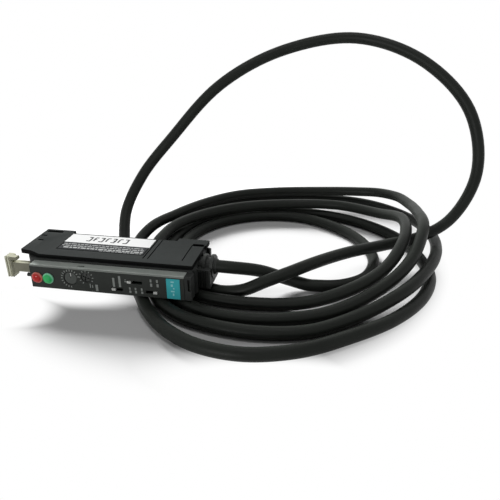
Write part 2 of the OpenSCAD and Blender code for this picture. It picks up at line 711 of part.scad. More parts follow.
// One ring of the cable at point i of the route, square to the way the cable runs there
function unit(v) = v / norm(v);
function way(i) = unit(route[min(i + 1, len(route) - 1)] - route[max(i - 1, 0)]);
function lean(p) = [0, -max(0, p[2] / 15), 1];
function ring(i) =
    let (t = way(i), side = unit(cross(t, lean(route[i]))), up = cross(side, t))
    [for (k = [0:cable_sides - 1]) let (a = k * 360 / cable_sides)
        route[i] + ring_r * (cos(a) * side + sin(a) * up)];

// The cable, swept along its route
module cable() {
    n = len(route);
    s = cable_sides;
    points = [for (i = [0:n - 1]) each ring(i)];
    sides = [for (i = [0:n - 2], k = [0:s - 1]) let (k2 = (k + 1) % s) each [
        [i * s + k, i * s + k2, (i + 1) * s + k2],
        [i * s + k, (i + 1) * s + k2, (i + 1) * s + k]]];
    ends = [[for (k = [s - 1:-1:0]) k], [for (k = [0:s - 1]) (n - 1) * s + k]];
    color([0.05, 0.052, 0.055]) polyhedron(points, concat(sides, ends));
}

// Inside the housing the four cores run from the cable's end to the main board
module inner_leads() {
    color([0.45, 0.28, 0.15]) for (sy = [-1, 1], sz = [-1, 1]) {
        x = route[0][0] - 2.6 - sz;
        y = exit_y + sy * lead_spread;
        z = exit_z + sz * lead_spread;
        bar_x(x, y, z, route[0][0] - x, lead_dia);
        translate([x, y, main_z + board_t]) cylinder(h = z - main_z - board_t, d = lead_dia);
        translate([x, y, z]) sphere(d = lead_dia);
    }
}

// One stripped lead at the free end of the cable
module lead(sx, sz) {
    bar_y(free_end[0] + sx * lead_spread, free_end[1] - lead_l, free_end[2] + sz * lead_spread,
        lead_l, lead_dia);
}

module lead_brown() {
    color([0.36, 0.20, 0.10]) lead(-1, 1);
}

module lead_blue() {
    color([0.10, 0.25, 0.60]) lead(1, 1);
}

module lead_black() {
    color([0.04, 0.04, 0.04]) lead(-1, -1);
}

module lead_white() {
    color([0.85, 0.85, 0.83]) lead(1, -1);
}

// Tinned tips of the four leads
module lead_tips() {
    color([0.75, 0.72, 0.66]) for (sx = [-1, 1], sz = [-1, 1])
        bar_y(free_end[0] + sx * lead_spread, free_end[1] - lead_l - tip_l,
            free_end[2] + sz * lead_spread, tip_l, tip_dia);
}

housing();
side_cover();
front_panel();
rating_label();
front_label();
red_indicator();
green_indicator();
timer_dial();
timer_body();
gain_screw();
gain_body();
light_dark_slider();
light_dark_switch();
delay_slider();
delay_switch();
range_slider();
range_switch();
panel_board();
main_board();
fibre_block();
emitter_led();
receiver_diode();
fibre_gripper();
rail_clip();
strain_relief();
cable();
inner_leads();
lead_brown();
lead_blue();
lead_black();
lead_white();
lead_tips();
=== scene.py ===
import math

import bmesh
import bpy
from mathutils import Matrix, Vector


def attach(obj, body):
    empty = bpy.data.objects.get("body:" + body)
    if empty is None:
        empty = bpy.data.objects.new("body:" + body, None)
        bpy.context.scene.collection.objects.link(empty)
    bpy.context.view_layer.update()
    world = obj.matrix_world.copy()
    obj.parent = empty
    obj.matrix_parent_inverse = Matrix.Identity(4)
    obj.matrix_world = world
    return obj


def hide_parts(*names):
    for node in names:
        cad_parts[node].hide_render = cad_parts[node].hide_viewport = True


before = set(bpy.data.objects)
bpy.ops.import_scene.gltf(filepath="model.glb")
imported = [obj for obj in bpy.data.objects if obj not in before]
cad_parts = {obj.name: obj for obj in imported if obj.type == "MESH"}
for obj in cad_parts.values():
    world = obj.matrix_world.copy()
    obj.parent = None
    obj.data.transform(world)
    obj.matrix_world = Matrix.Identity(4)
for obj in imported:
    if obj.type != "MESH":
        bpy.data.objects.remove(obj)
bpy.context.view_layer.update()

MM = 0.001

# Table top and studio.
# A white sheet that runs out to a white surround. A soft light stands behind and above the part, so
# that its shadow falls to the front, and weaker ones fill in from overhead and from the front left.
bpy.context.scene.view_settings.view_transform = "Standard"
table_level = -10.3 * MM
table_reach = 3.0
sheet_lit = 0.78
sheet_seen = 0.84

table_mesh = bpy.data.meshes.new("table")
table_corners = [(-table_reach, -table_reach), (table_reach, -table_reach),
                 (table_reach, table_reach), (-table_reach, table_reach)]
table_mesh.from_pydata([(x, y, table_level) for x, y in table_corners], [], [(0, 1, 2, 3)])
table = bpy.data.objects.new("table", table_mesh)
bpy.context.scene.collection.objects.link(table)


def seen_directly(nodes, links):
    """1 for rays from the camera, or mirrored or let through to it, and 0 for all other light."""
    rays = nodes.new("ShaderNodeLightPath")
    pair = nodes.new("ShaderNodeMath")
    pair.operation = "MAXIMUM"
    links.new(rays.outputs["Is Camera Ray"], pair.inputs[0])
    links.new(rays.outputs["Is Glossy Ray"], pair.inputs[1])
    both = nodes.new("ShaderNodeMath")
    both.operation = "MAXIMUM"
    links.new(pair.outputs["Value"], both.inputs[0])
    links.new(rays.outputs["Is Transmission Ray"], both.inputs[1])
    return both.outputs["Value"]


table_paint = bpy.data.materials.new("white_sheet")
table_paint.use_nodes = True
table_nodes = table_paint.node_tree.nodes
table_links = table_paint.node_tree.links
table_shader = table_nodes["Principled BSDF"]
table_shader.inputs["Roughness"].default_value = 0.9
table_shader.inputs["Specular IOR Level"].default_value = 0.0
table_seen = seen_directly(table_nodes, table_links)
table_tone = table_nodes.new("ShaderNodeMix")
table_tone.data_type = "RGBA"
table_tone.inputs["A"].default_value = (sheet_lit, sheet_lit, sheet_lit, 1)
table_tone.inputs["B"].default_value = (sheet_seen, sheet_seen, sheet_seen, 1)
table_links.new(table_seen, table_tone.inputs["Factor"])
table_links.new(table_tone.outputs["Result"], table_shader.inputs["Base Color"])
table_place = table_nodes.new("ShaderNodeTexCoord")


def table_fade(centre, reach, near, far):
    """The share of white on the table: 0 at near, 1 at far, and a smooth step between them.

    Both are shares of the way out from the centre of an oval, whose half axes are its reach.
    """
    off = table_nodes.new("ShaderNodeVectorMath")
    off.operation = "SUBTRACT"
    off.inputs[1].default_value = (centre[0] * MM, centre[1] * MM, table_level)
    table_links.new(table_place.outputs["Object"], off.inputs[0])
    oval = table_nodes.new("ShaderNodeVectorMath")
    oval.operation = "DIVIDE"
    oval.inputs[1].default_value = (reach[0] * MM, reach[1] * MM, 1)
    table_links.new(off.outputs["Vector"], oval.inputs[0])
    share = table_nodes.new("ShaderNodeVectorMath")
    share.operation = "LENGTH"
    table_links.new(oval.outputs["Vector"], share.inputs[0])
    step = table_nodes.new("ShaderNodeMapRange")
    step.interpolation_type = "SMOOTHSTEP"
    step.inputs["From Min"].default_value = min(near, far)
    step.inputs["From Max"].default_value = max(near, far)
    step.inputs["To Min"].default_value = float(near > far)
    step.inputs["To Max"].default_value = float(near < far)
    table_links.new(share.outputs["Value"], step.inputs["Value"])
    return step.outputs["Result"]


# Ovals in millimetres: white all round the part, and four patches of painted light that bleach out
# its shadow.
all_round = ((30, 35), (88, 94), 0.88, 1.06)
painted_light_inside_coil = ((56, 27), (33, 29), 1.15, 0.70)
painted_light_under_front = ((-16, -18), (31, 9.5), 1.15, 0.45)
painted_light_before_coil = ((78, -60), (58, 21), 1.20, 0.70)
painted_light_left_of_part = ((-36, -32), (22, 16), 1.25, 0.75)
table_white = table_fade(*all_round)
# Painted light: each patch mixes white glow in over the part's shadow on the table.
for patch in (painted_light_inside_coil, painted_light_under_front, painted_light_before_coil, painted_light_left_of_part):
    table_more = table_nodes.new("ShaderNodeMath")
    table_more.operation = "MAXIMUM"
    table_links.new(table_white, table_more.inputs[0])
    table_links.new(table_fade(*patch), table_more.inputs[1])
    table_white = table_more.outputs["Value"]
table_share = table_nodes.new("ShaderNodeMath")
table_share.operation = "MULTIPLY"
table_links.new(table_white, table_share.inputs[0])
table_links.new(table_seen, table_share.inputs[1])
table_glow = table_nodes.new("ShaderNodeEmission")
table_glow.inputs["Strength"].default_value = 1.0
table_blend = table_nodes.new("ShaderNodeMixShader")
table_links.new(table_share.outputs["Value"], table_blend.inputs["Fac"])
table_links.new(table_shader.outputs["BSDF"], table_blend.inputs[1])
table_links.new(table_glow.outputs["Emission"], table_blend.inputs[2])
table_links.new(table_blend.outputs["Shader"], table_nodes["Material Output"].inputs["Surface"])
table_mesh.materials.append(table_paint)

air_light = 0.09
air_seen = 1.0
surround = bpy.data.worlds.new("surround")
surround.use_nodes = True
bpy.context.scene.world = surround
air_nodes = surround.node_tree.nodes
air_links = surround.node_tree.links
air_level = air_nodes.new("ShaderNodeMix")
air_level.data_type = "FLOAT"
air_level.inputs["A"].default_value = air_light
air_level.inputs["B"].default_value = air_seen
air_links.new(seen_directly(air_nodes, air_links), air_level.inputs["Factor"])
air_links.new(air_level.outputs["Result"], air_nodes["Background"].inputs["Strength"])
air_nodes["Background"].inputs["Color"].default_value = (1, 1, 1, 1)


def soft_lamp(name, place, aim, size, power):
    """A square area lamp at place, turned to aim."""
    data = bpy.data.lights.new(name, "AREA")
    data.size = size
    data.energy = power
    lamp = bpy.data.objects.new(name, data)
    lamp.location = place
    lamp.rotation_euler = (Vector(aim) - Vector(place)).to_track_quat("-Z", "Y").to_euler()
    bpy.context.scene.collection.objects.link(lamp)
    return lamp


part_middle = (0.03, 0.0, 0.0)
coil_middle = (0.06, 0.0, 0.0)
back_window = soft_lamp("back_window", (-0.30, 0.68, 0.37), part_middle, size=0.30, power=15.8)
back_window.visible_glossy = False
soft_lamp("overhead", (0.06, -0.02, 0.75), coil_middle, size=0.22, power=0.85)
soft_lamp("front_left", (-0.25, -0.72, 0.11), part_middle, size=0.15, power=1.9)

viewer_place = (77.18, -166.88, 82.30)
viewer_way = (-0.1591, 0.8937, -0.4194)
lens_data = bpy.data.cameras.new("viewer")
lens_data.sensor_width = 36.0
lens_data.lens = 37.44
lens_data.clip_start = 0.005
viewer = bpy.data.objects.new("viewer", lens_data)
viewer.location = [c * MM for c in viewer_place]
viewer.rotation_euler = Vector(viewer_way).to_track_quat("-Z", "Y").to_euler()
bpy.context.scene.collection.objects.link(viewer)
bpy.context.scene.camera = viewer

# Cable.
# Two metres of round black PVC lead, moulded into the strain relief at one end. It is as it came
# out of its bag: five loose turns under the housing, and one turn that springs up behind it.
cable_dia = 4.5
lay = -8.05
exit_y = -8.0
exit_z = 0.5
relief_x0 = 29.05
relief_x1 = 37.4
cable_route = [
    (relief_x0 - 0.45, exit_y, exit_z), (relief_x1 + 4.6, exit_y, exit_z), (52.5, -4, -2.1),
    (61, -0.8, -6), (70, -0.5, lay), (80, 1.2, lay), (88, 7.2, lay), (92.7, 21, lay),
    (89, 41, lay), (77, 57, lay), (59, 66.5, lay), (40, 64.8, lay), (24.8, 54.8, lay),
    (15.9, 40, lay), (14.6, 22, lay), (20.4, 4.7, lay),
    (27.8, -5.4, lay), (38.5, -10.4, lay), (47, -10.8, -6.5), (54.5, -9.2, -3.3), (62, -5.4, -1.2),
    (70, 2.6, -0.7), (83, 16, -1.3), (97, 26.5, -1.8), (110, 33, -0.4), (122, 40, 5),
    (130.5, 46, 21), (127, 54, 44), (108, 65, 63), (80, 73, 71.5), (51, 71, 67), (24, 57, 53),
    (5, 48, 32.5), (-7, 40, 17), (-11, 29, 5), (-8, 17, -3),
    (-3.5, 5, -7.8), (4.5, -7.5, lay), (11.5, -17.5, lay), (18.5, -28, lay), (26.5, -36.3, lay),
    (37.5, -43, lay), (52, -45.5, lay), (68, -41.5, lay), (84, -31, lay), (99, -17.3, lay),
    (110, 1, lay), (113, 14, lay), (111.5, 28, lay), (104.5, 48, lay), (86, 66, lay),
    (66, 73, lay), (46, 72.7, lay), (27, 64.5, lay), (13.7, 50.7, lay), (9, 34, lay),
    (9.8, 20, lay), (15.2, 3.7, lay),
    (23.6, -8.6, lay), (32, -14.6, lay), (44, -16.8, lay), (58, -16.2, lay), (70, -14.6, -6.8),
    (82, -10.2, -4), (95, 3, -1.2), (103, 21, 3.6), (104, 41, 3.9), (95, 60, -1), (78, 71.5, -2.6),
    (54, 70.5, -3), (31, 62, -3), (16, 48.5, -3), (7.5, 32, -3.2), (6, 20, -4.6), (8, 8.5, lay),
    (12.2, -1.9, lay), (19.4, -11.5, lay), (26.5, -19.2, lay), (36, -24.6, lay),
    (49, -26.7, lay), (62, -25, lay), (76, -20, -7.4), (92.6, -8, -3.9), (104.3, 8, 0.4),
    (110.5, 28, 5.8), (111, 50, 4), (109.3, 67, 1.7), (104.6, 81, 0.4), (97, 88.5, -0.7),
    (86, 91.4, -1.7), (67, 92, -2.8),
    (46, 88, -3), (27, 79.5, -3), (13.5, 64.5, -3), (4.5, 47.5, -3), (-1.5, 33, -3.4),
    (-3.5, 20, -6), (0.5, 7.5, lay),
    (8.3, -4.6, lay), (15.3, -14.6, lay), (22.2, -23.3, lay), (30, -29, lay), (41, -32.5, lay),
    (55, -33.8, lay), (70, -31, lay), (86, -20.5, -7.2), (101.8, -6.4, -3.9), (112.5, 13, -2.8),
    (117.5, 34, -4.2), (117, 56, -6.2), (107, 78, -7.3), (90, 93, lay), (68, 96, lay),
    (47, 92.5, lay), (28, 84, lay), (13.5, 68, lay), (5, 50, lay), (2.6, 36, lay),
    (2.6, 22, lay)]
cable_points = [Vector(p) * MM for p in cable_route]
cable_curve = bpy.data.curves.new("cable", "CURVE")
cable_curve.dimensions = "3D"
cable_curve.resolution_u = 10
cable_curve.bevel_depth = 1.0
cable_curve.bevel_resolution = 7
cable_curve.use_fill_caps = True
cable_line = cable_curve.splines.new("BEZIER")
cable_line.bezier_points.add(len(cable_points) - 1)
for i, knot in enumerate(cable_line.bezier_points):
    before = cable_points[max(i - 1, 0)]
    here = cable_points[i]
    after = cable_points[min(i + 1, len(cable_points) - 1)]
    back = (here - before).length or (after - here).length
    ahead = (after - here).length or (here - before).length
    slope = (here - before) / back * ahead + (after - here) / ahead * back
    slope = slope / (back + ahead)
    knot.co = here
    knot.radius = cable_dia / 2 * MM
    knot.handle_left_type = "FREE"
    knot.handle_right_type = "FREE"
    knot.handle_left = here - slope * back / 3
    knot.handle_right = here + slope * ahead / 3
    knot.handle_left.z = max(knot.handle_left.z, lay * MM)
    knot.handle_right.z = max(knot.handle_right.z, lay * MM)
cable = bpy.data.objects.new("cable_lead", cable_curve)
bpy.context.scene.collection.objects.link(cable)
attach(cable, "amplifier")
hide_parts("cable")


def blank_finish(name, colour, roughness, shine=0.5):
    """A plain material, its shader, and the place on the part in millimetres for its textures."""
    finish = bpy.data.materials.new(name)
    finish.use_nodes = True
    nodes = finish.node_tree.nodes
    shader = nodes["Principled BSDF"]
    shader.inputs["Base Color"].default_value = (*colour, 1)
    shader.inputs["Roughness"].default_value = roughness
    shader.inputs["Specular IOR Level"].default_value = shine
    place = nodes.new("ShaderNodeTexCoord")
    scale = nodes.new("ShaderNodeVectorMath")
    scale.operation = "SCALE"
    scale.inputs["Scale"].default_value = 1 / MM
    finish.node_tree.links.new(place.outputs["Object"], scale.inputs[0])
    return finish, shader, scale.outputs["Vector"]


def grain(finish, shader, place, per_mm, height, stretch=(1, 1, 1)):
    """Fine surface relief: noise of that many grains a millimetre, that many millimetres high."""
    nodes = finish.node_tree.nodes
    links = finish.node_tree.links
    mapping = nodes.new("ShaderNodeMapping")
    mapping.inputs["Scale"].default_value = stretch
    noise = nodes.new("ShaderNodeTexNoise")
    noise.inputs["Scale"].default_value = per_mm
    noise.inputs["Detail"].default_value = 3.0
    bump = nodes.new("ShaderNodeBump")
    bump.inputs["Strength"].default_value = 1.0
    bump.inputs["Distance"].default_value = height * MM
    links.new(place, mapping.inputs["Vector"])
    links.new(mapping.outputs["Vector"], noise.inputs["Vector"])
    links.new(noise.outputs["Fac"], bump.inputs["Height"])
    links.new(bump.outputs["Normal"], shader.inputs["Normal"])


def mottle(finish, shader, place, per_mm, dark, pale, rough_low, rough_high):
    """Slow drift of colour and gloss over the surface, between two tones and two roughnesses."""
    nodes = finish.node_tree.nodes
    links = finish.node_tree.links
    noise = nodes.new("ShaderNodeTexNoise")
    noise.inputs["Scale"].default_value = per_mm
    noise.inputs["Detail"].default_value = 4.0
    links.new(place, noise.inputs["Vector"])
    tone = nodes.new("ShaderNodeMix")
    tone.data_type = "RGBA"
    tone.inputs["A"].default_value = (*dark, 1)
    tone.inputs["B"].default_value = (*pale, 1)
    links.new(noise.outputs["Fac"], tone.inputs["Factor"])
    links.new(tone.outputs["Result"], shader.inputs["Base Color"])
    gloss = nodes.new("ShaderNodeMapRange")
    gloss.inputs["From Min"].default_value = 0.3
    gloss.inputs["From Max"].default_value = 0.7
    gloss.inputs["To Min"].default_value = rough_low
    gloss.inputs["To Max"].default_value = rough_high
    links.new(noise.outputs["Fac"], gloss.inputs["Value"])
    links.new(gloss.outputs["Result"], shader.inputs["Roughness"])


jacket_black = (0.0152, 0.0174, 0.0150)
jacket_dark = (0.0100, 0.0116, 0.0098)
jacket_pale = (0.0204, 0.0232, 0.0200)
jacket, jacket_shader, jacket_place = blank_finish("cable_jacket", jacket_black, 0.45, 0.11)
grain(jacket, jacket_shader, jacket_place, per_mm=2.6, height=0.05)
mottle(jacket, jacket_shader, jacket_place, 0.12, jacket_dark, jacket_pale, 0.36, 0.52)
cable_curve.materials.append(jacket)

# Stripped leads.
# At the free end the jacket is cut back and four stranded cores show, each in its own colour of
# insulation, with tinned tips. Inside the housing the same cores run from the jacket to the board.
core_colours = {"lead_brown": (0.14, 0.055, 0.025), "lead_blue": (0.02, 0.07, 0.38),
                "lead_black": (0.012, 0.012, 0.012), "lead_white": (0.72, 0.72, 0.70)}


def dress_node(node, finish):
    """Gives a CAD node, shown as it is, its finish."""
    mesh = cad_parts[node].data
    mesh.materials.clear()
    mesh.materials.append(finish)


for node, colour in core_colours.items():
    sleeve, sleeve_shader, sleeve_place = blank_finish(node, colour, 0.4)
    grain(sleeve, sleeve_shader, sleeve_place, per_mm=8.0, height=0.01)
    dress_node(node, sleeve)
    if node == "lead_brown":
        dress_node("inner_leads", sleeve)
tin, tin_shader, tin_place = blank_finish("tinned_strands", (0.62, 0.58, 0.52), 0.3)
tin_shader.inputs["Metallic"].default_value = 1.0
grain(tin, tin_shader, tin_place, per_mm=5.0, height=0.05, stretch=(4, 0.3, 4))
dress_node("lead_tips", tin)

# Tray of the housing.
# Injection-moulded black ABS with a fine spark-eroded texture: floor, walls, the rail hook,
# the end block and the cradle that the strain relief drops into.
weld = 0.001 * MM
flat_angle = math.radians(0.5)
sharp_angle = math.radians(35)
room_needed = 2.2
beside_cosine = 0.87
fold_share = 1.2
fold_spare = 0.003 * MM * MM
fold_reach = 1.5
fold_rounds = 8
paler = 1.18
darker = 0.86
drift_per_mm = 0.25


def off_line(point, start, end):
    """The way to a point from the nearest place on the line between two others."""
    span = end - start
    share = (point - start).dot(span) / span.length_squared
    return point - start - span * min(max(share, 0.0), 1.0)


def has_room(edge, need):
    """Whether no corner on an edge's faces, or one step away, is too near for it to be rounded."""
    start, end = (corner.co for corner in edge.verts)
    along = (end - start).normalized()
    corners = {c for face in edge.link_faces for c in face.verts}
    corners |= {side.other_vert(tip) for tip in edge.verts for side in tip.link_edges}
    for corner in corners.difference(edge.verts):
        gap = off_line(corner.co, start, end)
        if gap.length < need and abs(along.dot(gap.normalized())) < beside_cosine:
            return False
    return True


def leave_folds(piece, edge):
    """Keeps an edge sharp where rounding it would fold a face over itself."""
    mesh = piece.data
    weights = mesh.attributes["bevel_weight_edge"].data
    for _ in range(fold_rounds):
        rounded = piece.evaluated_get(bpy.context.evaluated_depsgraph_get())
        result = rounded.to_mesh()
        result.calc_loop_triangles()
        spread = [0.0] * len(result.polygons)
        for part in result.loop_triangles:
            spread[part.polygon_index] += part.area
        folded = []
        for face in result.polygons:
            if spread[face.index] > fold_share * face.area + fold_spare:
                folded.append([result.vertices[v].co.copy() for v in face.vertices])
        rounded.to_mesh_clear()
        if not folded:
            return
        reach = fold_reach * edge * MM
        for line in mesh.edges:
            start, end = (mesh.vertices[v].co for v in line.vertices)
            for ring in folded:
                if sum(off_line(c, start, end).length < reach for c in ring) > 1:
                    weights[line.index].value = 0.0
        mesh.update()


def softened(node, body, finish, edge):
    """A copy of a CAD node, its sharp edges rounded by edge millimetres where there is room."""
    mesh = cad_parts[node].data.copy()
    shape = bmesh.new()
    shape.from_mesh(mesh)
    bmesh.ops.remove_doubles(shape, verts=shape.verts, dist=weld)
    bmesh.ops.dissolve_limit(shape, angle_limit=flat_angle, verts=shape.verts, edges=shape.edges)
    for face in shape.faces:
        face.smooth = True
    weight = shape.edges.layers.float.new("bevel_weight_edge")
    for line in shape.edges:
        if line.calc_face_angle(0.0) > sharp_angle and has_room(line, room_needed * edge * MM):
            line[weight] = 1.0
    shape.to_mesh(mesh)
    shape.free()
    mesh.set_sharp_from_angle(angle=sharp_angle)
    mesh.materials.clear()
    mesh.materials.append(finish)
    piece = bpy.data.objects.new(node + "_moulding", mesh)
    bpy.context.scene.collection.objects.link(piece)
    rounding = piece.modifiers.new("edges", "BEVEL")
    rounding.width = edge * MM
    rounding.segments = 2
    rounding.limit_method = "WEIGHT"
    rounding.use_clamp_overlap = False
    rounding.harden_normals = True
    leave_folds(piece, edge)
    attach(piece, body)
    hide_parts(node)
    return piece


def moulded(name, colour, low, high, shine=0.5, relief=0.012):
    """Black or coloured moulded plastic with spark-eroded texture, between two roughnesses."""
    finish, shader, place = blank_finish(name, colour, low, shine)
    grain(finish, shader, place, per_mm=5.0, height=relief)
    pale = tuple(min(1.0, c * paler) for c in colour)
    dark = tuple(c * darker for c in colour)
    mottle(finish, shader, place, drift_per_mm, dark, pale, low, high)
    return finish


tray_black = moulded("tray_black", (0.030, 0.0322, 0.0308), 0.50, 0.62, 0.12)
softened("housing", "amplifier", tray_black, 0.1)

# Boards and what stands on them.
# Green glass-epoxy boards with blue trimmer bodies, black switch cases and the two cased optics.
board_green = moulded("board_green", (0.02, 0.16, 0.06), 0.30, 0.40)
trimmer_blue = moulded("trimmer_blue", (0.02, 0.09, 0.28), 0.35, 0.45)
case_black = moulded("case_black", (0.010, 0.010, 0.011), 0.40, 0.55, 0.15)
optic_red = moulded("optic_red", (0.55, 0.08, 0.07), 0.15, 0.25)
for node in ("panel_board", "main_board"):
    dress_node(node, board_green)
for node in ("timer_body", "gain_body"):
    dress_node(node, trimmer_blue)
for node in ("light_dark_switch", "delay_switch", "range_switch", "receiver_diode", "fibre_block"):
    dress_node(node, case_black)
dress_node("emitter_led", optic_red)

# Side cover.
# A flat black ABS plate that snaps on to the tray, with a label field, two moulded lines across it
# and latch slots at its ends. Its near and end edges and underside carry painted shade, darker than
# its face.
cover_grey = moulded("cover_grey", (0.029, 0.0318, 0.0308), 0.58, 0.70, 0.06)
cover = softened("side_cover", "amplifier", cover_grey, 0.09)
painted_shade_black = moulded("painted_shade_black", (0.006, 0.0064, 0.0062), 0.60, 0.70, 0.03)
cover.data.materials.append(painted_shade_black)
# Painted shade: faces that look forward, to the ends or down take the near-black copy.
for face in cover.data.polygons:
    if face.normal.z < 0.5 and face.normal.y < 0.3:
        face.material_index = 1

# Fibre gripper.
# One ivory acetal moulding that is pulled out to free the fibres: a fluted thumb pad, an arm
# whose near side is rough and carries painted shade, and inside the housing the plate that
# crosses both fibres.
pad_x1 = -35.1
ivory = moulded("gripper_ivory", (0.46, 0.46, 0.355), 0.45, 0.58, 0.2, 0.05)
gripper = softened("fibre_gripper", "fibre_gripper", ivory, 0.2)
arm_knurl_and_shade = moulded("arm_knurl_and_shade", (0.196, 0.193, 0.149), 0.60, 0.72, 0.1, 0.12)
gripper.data.materials.append(arm_knurl_and_shade)
# Painted shade: the arm's near faces take a darker copy of the ivory, with a rougher relief.
for face in gripper.data.polygons:
    if face.center.x > pad_x1 * MM and face.normal.y < -0.5:
        face.material_index = 1

# Rail clip and strain relief.
# The clip is a black nylon slide in the tab at the cable end; the strain relief is a softer black
# moulding with two flanges and slits, pressed round the jacket.
clip_black = moulded("clip_black", (0.015, 0.0158, 0.0155), 0.45, 0.57, 0.15)
softened("rail_clip", "rail_clip", clip_black, 0.15)
relief_black = moulded("relief_black", (0.034, 0.0365, 0.034), 0.42, 0.55, 0.2)
softened("strain_relief", "amplifier", relief_black, 0.09)

# Front panel.
# A satin charcoal bezel that snaps over the row of controls. Its top strip carries painted light:
# pale on its flat top and mid grey on its chamfers. Its face carries pale printed marks round
# each control.
panel_y = -23.2
panel_z1 = 3.1
strip_edge = 0.45
ink_t = 0.02
panel_dark = moulded("panel_dark", (0.031, 0.0340, 0.031), 0.48, 0.58, 0.10)
panel_painted_light = moulded("panel_painted_light", (0.48, 0.52, 0.482), 0.50, 0.60, 0.15)
panel_painted_half_light = moulded("panel_painted_half_light", (0.21, 0.226, 0.21), 0.50, 0.60, 0.15)
bezel = softened("front_panel", "amplifier", panel_dark, 0.09)
bezel.data.materials.append(panel_painted_light)
bezel.data.materials.append(panel_painted_half_light)
# Painted light from above: upward faces of the strip take the pale copy, its chamfers the mid grey
# one.
for face in bezel.data.polygons:
    if face.center.z > (panel_z1 - strip_edge) * MM and face.normal.z > 0.5:
        face.material_index = 1 if face.normal.z > 0.9 else 2


def printed(name, body, finish, outlines, at):
    """Thin printed marks: rings of points on a surface, each point placed on the part by at."""
    corners = []
    faces = []
    for ring in outlines:
        first = len(corners)
        n = len(ring)
        corners += [at(a, b, 0.0) for a, b in ring]
        corners += [at(a, b, ink_t) for a, b in ring]
        faces.append(list(range(first + n, first + 2 * n)))
        faces.append(list(range(first + n - 1, first - 1, -1)))
        for k in range(n):
            j = (k + 1) % n
            faces.append([first + k, first + j, first + n + j, first + n + k])
    mesh = bpy.data.meshes.new(name)
    mesh.from_pydata([Vector(c) * MM for c in corners], [], faces)
    shape = bmesh.new()
    shape.from_mesh(mesh)
    bmesh.ops.recalc_face_normals(shape, faces=shape.faces)
    shape.to_mesh(mesh)
    shape.free()
    mesh.materials.append(finish)
    piece = bpy.data.objects.new(name, mesh)
    bpy.context.scene.collection.objects.link(piece)
    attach(piece, body)


def flat_ink(name, colour):
    """A plain coat of matt ink."""
    finish, shader, place = blank_finish(name, colour, 0.55, 0.2)
    grain(finish, shader, place, per_mm=0.6, height=0.004)
    return finish


def bar(a, b, wide, high):
    """A rectangle round a point."""
    return [(a - wide / 2, b - high / 2), (a + wide / 2, b - high / 2),
            (a + wide / 2, b + high / 2), (a - wide / 2, b + high / 2)]


def tick(middle, degrees, near, far, wide):
    """A short line that points away from a dial's middle."""
    along = Vector((math.cos(math.radians(degrees)), math.sin(math.radians(degrees))))
    across = Vector((-along.y, along.x)) * wide / 2
    inner = Vector(middle) + along * near
    outer = Vector(middle) + along * far
    return [tuple(c) for c in (inner - across, outer - across, outer + across, inner + across)]


def on_panel(a, b, up):
    """A point on the panel's face: along it, height, and how far it stands out."""
    return (a, panel_y - up, b)


timer = (-10.6, -0.9)
gain = (-4.8, 0.0)
panel_marks = []
for k in range(15):
    panel_marks.append(tick(timer, 270 - 18 * k, 2.75, 3.45, 0.3))
for k in range(10):
    panel_marks.append(tick(gain, 240 - 30 * k, 2.1, 2.7, 0.28))
panel_marks += [bar(-3.6, -3.0, 0.3, 1.5), bar(-2.8, -3.2, 0.3, 1.1), bar(-1.3, -3.6, 0.9, 2.4)]
panel_marks += [bar(5.05, -0.9, 0.75, 3.4), bar(7.2, -0.4, 0.75, 4.2)]
panel_marks += [bar(9.3, -0.2, 0.7, 0.5), bar(9.3, 0.5, 0.5, 0.25)]
for along in (10.6, 12.6, 14.8):
    panel_marks += [bar(along, -2.7, 0.55, 0.9), bar(along + 0.1, -3.9, 0.7, 0.9)]
for along in (18.2, 20.4):
    panel_marks += [bar(along, 0.9, 0.6, 1.1), bar(along + 0.1, -0.7, 0.7, 1.2)]
panel_print = flat_ink("panel_print", (0.22, 0.235, 0.222))
printed("panel_marks", "amplifier", panel_print, panel_marks, on_panel)

# Lamps.
# Two domed lenses of tinted clear plastic, red and green, standing proud of the panel. They are
# deep in colour at the middle, and a painted reflection makes them paler towards the edge.
reflection_ring_starts = 1.40
reflection_ring_full = 1.95


def lens(name, deep, rim_reflection, middle):
    """Tinted clear plastic round an axis along Y: deep colour at the middle, and a paler painted
    reflection towards the edge.
    """
    finish, shader, place = blank_finish(name, deep, 0.14, 0.0)
    nodes = finish.node_tree.nodes
    links = finish.node_tree.links
    flat = nodes.new("ShaderNodeVectorMath")
    flat.operation = "MULTIPLY"
    flat.inputs[1].default_value = (1, 0, 1)
    links.new(place, flat.inputs[0])
    off = nodes.new("ShaderNodeVectorMath")
    off.operation = "DISTANCE"
    off.inputs[1].default_value = (middle[0], 0, middle[1])
    links.new(flat.outputs["Vector"], off.inputs[0])
    # Painted reflection: the colour turns paler towards the edge of the dome.
    edge = nodes.new("ShaderNodeMapRange")
    edge.interpolation_type = "SMOOTHSTEP"
    edge.inputs["From Min"].default_value = reflection_ring_starts
    edge.inputs["From Max"].default_value = reflection_ring_full
    links.new(off.outputs["Value"], edge.inputs["Value"])
    tone = nodes.new("ShaderNodeMix")
    tone.data_type = "RGBA"
    tone.inputs["A"].default_value = (*deep, 1)
    tone.inputs["B"].default_value = (*rim_reflection, 1)
    links.new(edge.outputs["Result"], tone.inputs["Factor"])
    links.new(tone.outputs["Result"], shader.inputs["Base Color"])
    shader.inputs["Subsurface Weight"].default_value = 0.1
    shader.inputs["Subsurface Radius"].default_value = (0.0012, 0.0012, 0.0012)
    shader.inputs["Coat Weight"].default_value = 0.5
    shader.inputs["Coat Roughness"].default_value = 0.06
    return finish


red_tint = lens("lens_red", (0.46, 0.008, 0.005), (0.70, 0.20, 0.16), (-22.9, -1.5))
softened("red_indicator", "amplifier", red_tint, 0.06)
green_tint = lens("lens_green", (0.018, 0.47, 0.12), (0.27, 0.72, 0.46), (-18.8, -1.5))
softened("green_indicator", "amplifier", green_tint, 0.06)

